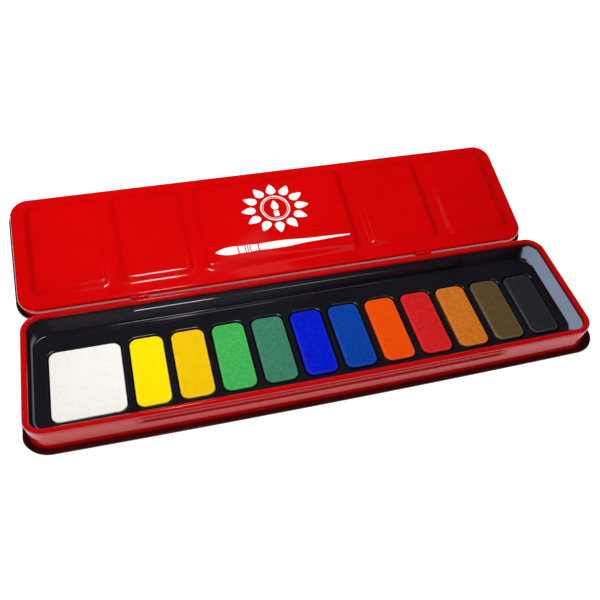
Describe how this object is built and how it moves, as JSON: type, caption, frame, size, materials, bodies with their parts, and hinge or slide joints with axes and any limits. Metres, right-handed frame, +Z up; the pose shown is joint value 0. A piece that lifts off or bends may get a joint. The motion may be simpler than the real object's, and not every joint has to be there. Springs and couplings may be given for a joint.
{
  "type": "watercolor pan set",
  "caption": "Slim hinged enamelled tin that holds a row of pressed watercolour tablets in a stamped tray, with a flat lid that opens back onto the table.",
  "frame": {"origin": "centre of the flat underside of the base, on the table", "axes": "+X along the tin from the white tablet to the black one, +Y from the front wall towards the hinge and the lid, +Z up"},
  "size_m": [0.2168, 0.1134, 0.0164],
  "materials": {
    "black_enamel": "glossy black enamel on tin plate",
    "red_enamel": "glossy red enamel on tin plate",
    "tray_enamel": "glossy black enamel on a stamped tray",
    "pin_steel": "plain steel wire",
    "white_paint": "pressed watercolour pigment, chalky and matte",
    "yellow_paint": "pressed watercolour pigment, chalky and matte",
    "gold_paint": "pressed watercolour pigment, chalky and matte",
    "light_green_paint": "pressed watercolour pigment, chalky and matte",
    "dark_green_paint": "pressed watercolour pigment, chalky and matte",
    "ultramarine_paint": "pressed watercolour pigment, chalky and matte",
    "cobalt_paint": "pressed watercolour pigment, chalky and matte",
    "orange_paint": "pressed watercolour pigment, chalky and matte",
    "red_paint": "pressed watercolour pigment, chalky and matte",
    "ochre_paint": "pressed watercolour pigment, chalky and matte",
    "umber_paint": "pressed watercolour pigment, chalky and matte",
    "black_paint": "pressed watercolour pigment, chalky and matte"
  },
  "bodies": {
    "base": {"bottom_cover": "black_enamel", "base_wall": "red_enamel", "paint_tray": "tray_enamel", "white_tablet": "white_paint", "yellow_tablet": "yellow_paint", "gold_tablet": "gold_paint", "light_green_tablet": "light_green_paint", "dark_green_tablet": "dark_green_paint", "ultramarine_tablet": "ultramarine_paint", "cobalt_tablet": "cobalt_paint", "orange_tablet": "orange_paint", "red_tablet": "red_paint", "ochre_tablet": "ochre_paint", "umber_tablet": "umber_paint", "black_tablet": "black_paint", "base_hinge_tabs": "red_enamel", "hinge_pins": "pin_steel"},
    "lid": {"lid_plate": "red_enamel", "lid_cover": "black_enamel", "lid_hinge_tabs": "red_enamel"}
  },
  "joints": [
    {"name": "lid_hinge", "type": "hinge", "parent": "base", "child": "lid", "pos_m": [0, 0.0286, 0.00815], "axis": [1, 0, 0], "range_deg": [0, 168]}
  ]
}
